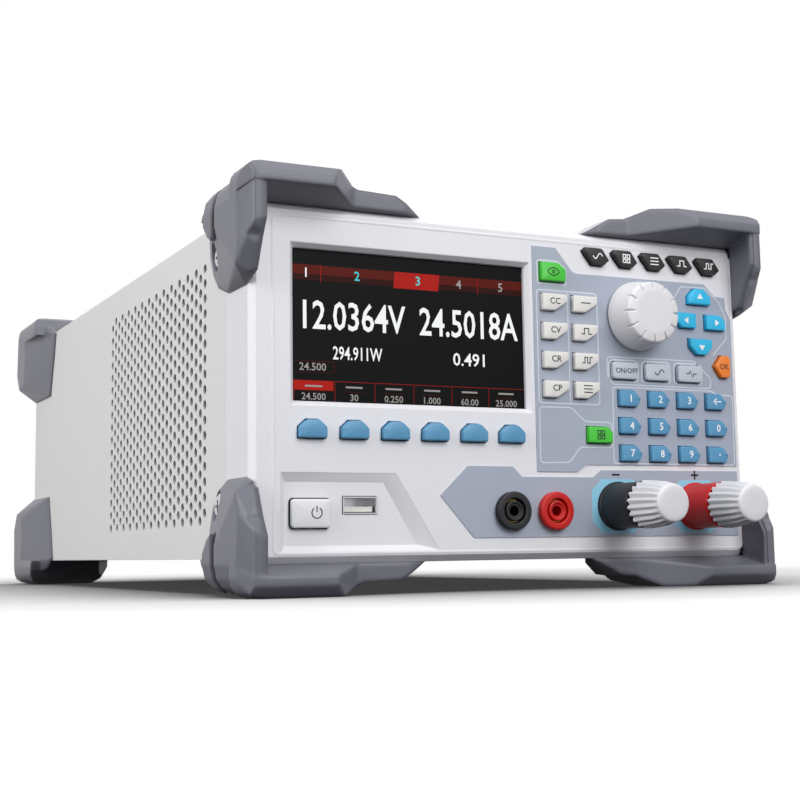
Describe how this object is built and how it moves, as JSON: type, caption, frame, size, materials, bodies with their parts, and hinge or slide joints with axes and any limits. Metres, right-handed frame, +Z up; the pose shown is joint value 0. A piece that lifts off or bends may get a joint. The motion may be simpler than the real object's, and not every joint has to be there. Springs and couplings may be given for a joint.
{
  "type": "dc electronic load",
  "caption": "Bench DC electronic load with a colour display, keypad, menu knob, sense jacks, screw-down input posts, perforated steel cover and rubber corner bumpers.",
  "frame": {"origin": "middle of the bounding box, on the plane under the four bottom bumpers", "axes": "+Z up, the front panel faces -Y, +X to the right as seen from the front"},
  "size_m": [0.228, 0.4116, 0.149],
  "materials": {
    "bezel": "satin moulded",
    "overlay": "printed film",
    "display": "polished over a dark panel",
    "cover": "fine powder coat",
    "chassis": "zinc plated",
    "bumper": "moulded satin",
    "screw": "bright",
    "terminal_black": "moulded",
    "terminal_red": "moulded",
    "brass": "turned",
    "board": "solder mask",
    "sink": "extruded",
    "fan": "moulded",
    "connector": "plated",
    "rotor": "moulded",
    "knob": "moulded satin",
    "post_knob": "moulded",
    "key_blue": "moulded",
    "key_black": "moulded",
    "key_white": "moulded",
    "key_grey": "translucent",
    "key_green": "lit",
    "key_cyan": "moulded",
    "key_orange": "moulded",
    "key_power": "moulded"
  },
  "bodies": {
    "case": {"front_bezel": "bezel", "panel_overlays": "overlay", "display_module": "display", "case_cover": "cover", "chassis": "chassis", "corner_bumpers": "bumper", "case_screws": "screw", "negative_terminals": "terminal_black", "positive_terminals": "terminal_red", "terminal_studs": "brass", "circuit_boards": "board", "heat_sink": "sink", "fan_frame": "fan", "connectors": "connector"},
    "fan_rotor": {"fan_rotor": "rotor"},
    "encoder_knob": {"encoder_knob": "knob"},
    "post_knob_negative": {"post_knob_negative": "post_knob"},
    "post_knob_positive": {"post_knob_positive": "post_knob"},
    "power_key": {"power_key": "key_power"},
    "view_key": {"view_key": "key_green"},
    "app_key": {"app_key": "key_green"},
    "ok_key": {"ok_key": "key_orange"},
    "arrow_up": {"arrow_up": "key_cyan"},
    "arrow_left": {"arrow_left": "key_cyan"},
    "arrow_right": {"arrow_right": "key_cyan"},
    "arrow_down": {"arrow_down": "key_cyan"},
    "soft_key_1": {"soft_key_1": "key_blue"},
    "soft_key_2": {"soft_key_2": "key_blue"},
    "soft_key_3": {"soft_key_3": "key_blue"},
    "soft_key_4": {"soft_key_4": "key_blue"},
    "soft_key_5": {"soft_key_5": "key_blue"},
    "soft_key_6": {"soft_key_6": "key_blue"},
    "menu_key_1": {"menu_key_1": "key_black"},
    "menu_key_2": {"menu_key_2": "key_black"},
    "menu_key_3": {"menu_key_3": "key_black"},
    "menu_key_4": {"menu_key_4": "key_black"},
    "menu_key_5": {"menu_key_5": "key_black"},
    "mode_key_1": {"mode_key_1": "key_white"},
    "mode_key_2": {"mode_key_2": "key_white"},
    "mode_key_3": {"mode_key_3": "key_white"},
    "mode_key_4": {"mode_key_4": "key_white"},
    "mode_key_5": {"mode_key_5": "key_white"},
    "mode_key_6": {"mode_key_6": "key_white"},
    "mode_key_7": {"mode_key_7": "key_white"},
    "mode_key_8": {"mode_key_8": "key_white"},
    "load_key_1": {"load_key_1": "key_grey"},
    "load_key_2": {"load_key_2": "key_grey"},
    "load_key_3": {"load_key_3": "key_grey"},
    "num_key_1": {"num_key_1": "key_blue"},
    "num_key_2": {"num_key_2": "key_blue"},
    "num_key_3": {"num_key_3": "key_blue"},
    "num_key_back": {"num_key_back": "key_blue"},
    "num_key_4": {"num_key_4": "key_blue"},
    "num_key_5": {"num_key_5": "key_blue"},
    "num_key_6": {"num_key_6": "key_blue"},
    "num_key_0": {"num_key_0": "key_blue"},
    "num_key_7": {"num_key_7": "key_blue"},
    "num_key_8": {"num_key_8": "key_blue"},
    "num_key_9": {"num_key_9": "key_blue"},
    "num_key_dot": {"num_key_dot": "key_blue"}
  },
  "joints": [
    {"name": "fan_spin", "type": "hinge", "parent": "case", "child": "fan_rotor", "pos_m": [0.025, 0.1702, 0.058], "axis": [0, 1, 0], "continuous": true},
    {"name": "encoder_turn", "type": "hinge", "parent": "case", "child": "encoder_knob", "pos_m": [0.0561, -0.1758, 0.1059], "axis": [0, -1, 0], "continuous": true},
    {"name": "post_knob_negative_turn", "type": "hinge", "parent": "case", "child": "post_knob_negative", "pos_m": [0.0444, -0.1968, 0.031], "axis": [0, -1, 0], "continuous": true},
    {"name": "post_knob_positive_turn", "type": "hinge", "parent": "case", "child": "post_knob_positive", "pos_m": [0.0817, -0.1968, 0.031], "axis": [0, -1, 0], "continuous": true},
    {"name": "power_key_press", "type": "slide", "parent": "case", "child": "power_key", "axis": [0, 1, 0], "range_m": [0, 0.002], "stiffness_N_per_m": 600},
    {"name": "view_key_press", "type": "slide", "parent": "case", "child": "view_key", "axis": [0, 1, 0], "range_m": [0, 0.0012], "stiffness_N_per_m": 500},
    {"name": "app_key_press", "type": "slide", "parent": "case", "child": "app_key", "axis": [0, 1, 0], "range_m": [0, 0.0012], "stiffness_N_per_m": 500},
    {"name": "ok_key_press", "type": "slide", "parent": "case", "child": "ok_key", "axis": [0, 1, 0], "range_m": [0, 0.0012], "stiffness_N_per_m": 500},
    {"name": "arrow_up_press", "type": "slide", "parent": "case", "child": "arrow_up", "axis": [0, 1, 0], "range_m": [0, 0.0012], "stiffness_N_per_m": 500},
    {"name": "arrow_left_press", "type": "slide", "parent": "case", "child": "arrow_left", "axis": [0, 1, 0], "range_m": [0, 0.0012], "stiffness_N_per_m": 500},
    {"name": "arrow_right_press", "type": "slide", "parent": "case", "child": "arrow_right", "axis": [0, 1, 0], "range_m": [0, 0.0012], "stiffness_N_per_m": 500},
    {"name": "arrow_down_press", "type": "slide", "parent": "case", "child": "arrow_down", "axis": [0, 1, 0], "range_m": [0, 0.0012], "stiffness_N_per_m": 500},
    {"name": "soft_key_1_press", "type": "slide", "parent": "case", "child": "soft_key_1", "axis": [0, 1, 0], "range_m": [0, 0.0012], "stiffness_N_per_m": 500},
    {"name": "soft_key_2_press", "type": "slide", "parent": "case", "child": "soft_key_2", "axis": [0, 1, 0], "range_m": [0, 0.0012], "stiffness_N_per_m": 500},
    {"name": "soft_key_3_press", "type": "slide", "parent": "case", "child": "soft_key_3", "axis": [0, 1, 0], "range_m": [0, 0.0012], "stiffness_N_per_m": 500},
    {"name": "soft_key_4_press", "type": "slide", "parent": "case", "child": "soft_key_4", "axis": [0, 1, 0], "range_m": [0, 0.0012], "stiffness_N_per_m": 500},
    {"name": "soft_key_5_press", "type": "slide", "parent": "case", "child": "soft_key_5", "axis": [0, 1, 0], "range_m": [0, 0.0012], "stiffness_N_per_m": 500},
    {"name": "soft_key_6_press", "type": "slide", "parent": "case", "child": "soft_key_6", "axis": [0, 1, 0], "range_m": [0, 0.0012], "stiffness_N_per_m": 500},
    {"name": "menu_key_1_press", "type": "slide", "parent": "case", "child": "menu_key_1", "axis": [0, 1, 0], "range_m": [0, 0.0012], "stiffness_N_per_m": 500},
    {"name": "menu_key_2_press", "type": "slide", "parent": "case", "child": "menu_key_2", "axis": [0, 1, 0], "range_m": [0, 0.0012], "stiffness_N_per_m": 500},
    {"name": "menu_key_3_press", "type": "slide", "parent": "case", "child": "menu_key_3", "axis": [0, 1, 0], "range_m": [0, 0.0012], "stiffness_N_per_m": 500},
    {"name": "menu_key_4_press", "type": "slide", "parent": "case", "child": "menu_key_4", "axis": [0, 1, 0], "range_m": [0, 0.0012], "stiffness_N_per_m": 500},
    {"name": "menu_key_5_press", "type": "slide", "parent": "case", "child": "menu_key_5", "axis": [0, 1, 0], "range_m": [0, 0.0012], "stiffness_N_per_m": 500},
    {"name": "mode_key_1_press", "type": "slide", "parent": "case", "child": "mode_key_1", "axis": [0, 1, 0], "range_m": [0, 0.0012], "stiffness_N_per_m": 500},
    {"name": "mode_key_2_press", "type": "slide", "parent": "case", "child": "mode_key_2", "axis": [0, 1, 0], "range_m": [0, 0.0012], "stiffness_N_per_m": 500},
    {"name": "mode_key_3_press", "type": "slide", "parent": "case", "child": "mode_key_3", "axis": [0, 1, 0], "range_m": [0, 0.0012], "stiffness_N_per_m": 500},
    {"name": "mode_key_4_press", "type": "slide", "parent": "case", "child": "mode_key_4", "axis": [0, 1, 0], "range_m": [0, 0.0012], "stiffness_N_per_m": 500},
    {"name": "mode_key_5_press", "type": "slide", "parent": "case", "child": "mode_key_5", "axis": [0, 1, 0], "range_m": [0, 0.0012], "stiffness_N_per_m": 500},
    {"name": "mode_key_6_press", "type": "slide", "parent": "case", "child": "mode_key_6", "axis": [0, 1, 0], "range_m": [0, 0.0012], "stiffness_N_per_m": 500},
    {"name": "mode_key_7_press", "type": "slide", "parent": "case", "child": "mode_key_7", "axis": [0, 1, 0], "range_m": [0, 0.0012], "stiffness_N_per_m": 500},
    {"name": "mode_key_8_press", "type": "slide", "parent": "case", "child": "mode_key_8", "axis": [0, 1, 0], "range_m": [0, 0.0012], "stiffness_N_per_m": 500},
    {"name": "load_key_1_press", "type": "slide", "parent": "case", "child": "load_key_1", "axis": [0, 1, 0], "range_m": [0, 0.0012], "stiffness_N_per_m": 500},
    {"name": "load_key_2_press", "type": "slide", "parent": "case", "child": "load_key_2", "axis": [0, 1, 0], "range_m": [0, 0.0012], "stiffness_N_per_m": 500},
    {"name": "load_key_3_press", "type": "slide", "parent": "case", "child": "load_key_3", "axis": [0, 1, 0], "range_m": [0, 0.0012], "stiffness_N_per_m": 500},
    {"name": "num_key_1_press", "type": "slide", "parent": "case", "child": "num_key_1", "axis": [0, 1, 0], "range_m": [0, 0.0012], "stiffness_N_per_m": 500},
    {"name": "num_key_2_press", "type": "slide", "parent": "case", "child": "num_key_2", "axis": [0, 1, 0], "range_m": [0, 0.0012], "stiffness_N_per_m": 500},
    {"name": "num_key_3_press", "type": "slide", "parent": "case", "child": "num_key_3", "axis": [0, 1, 0], "range_m": [0, 0.0012], "stiffness_N_per_m": 500},
    {"name": "num_key_back_press", "type": "slide", "parent": "case", "child": "num_key_back", "axis": [0, 1, 0], "range_m": [0, 0.0012], "stiffness_N_per_m": 500},
    {"name": "num_key_4_press", "type": "slide", "parent": "case", "child": "num_key_4", "axis": [0, 1, 0], "range_m": [0, 0.0012], "stiffness_N_per_m": 500},
    {"name": "num_key_5_press", "type": "slide", "parent": "case", "child": "num_key_5", "axis": [0, 1, 0], "range_m": [0, 0.0012], "stiffness_N_per_m": 500},
    {"name": "num_key_6_press", "type": "slide", "parent": "case", "child": "num_key_6", "axis": [0, 1, 0], "range_m": [0, 0.0012], "stiffness_N_per_m": 500},
    {"name": "num_key_0_press", "type": "slide", "parent": "case", "child": "num_key_0", "axis": [0, 1, 0], "range_m": [0, 0.0012], "stiffness_N_per_m": 500},
    {"name": "num_key_7_press", "type": "slide", "parent": "case", "child": "num_key_7", "axis": [0, 1, 0], "range_m": [0, 0.0012], "stiffness_N_per_m": 500},
    {"name": "num_key_8_press", "type": "slide", "parent": "case", "child": "num_key_8", "axis": [0, 1, 0], "range_m": [0, 0.0012], "stiffness_N_per_m": 500},
    {"name": "num_key_9_press", "type": "slide", "parent": "case", "child": "num_key_9", "axis": [0, 1, 0], "range_m": [0, 0.0012], "stiffness_N_per_m": 500},
    {"name": "num_key_dot_press", "type": "slide", "parent": "case", "child": "num_key_dot", "axis": [0, 1, 0], "range_m": [0, 0.0012], "stiffness_N_per_m": 500}
  ]
}
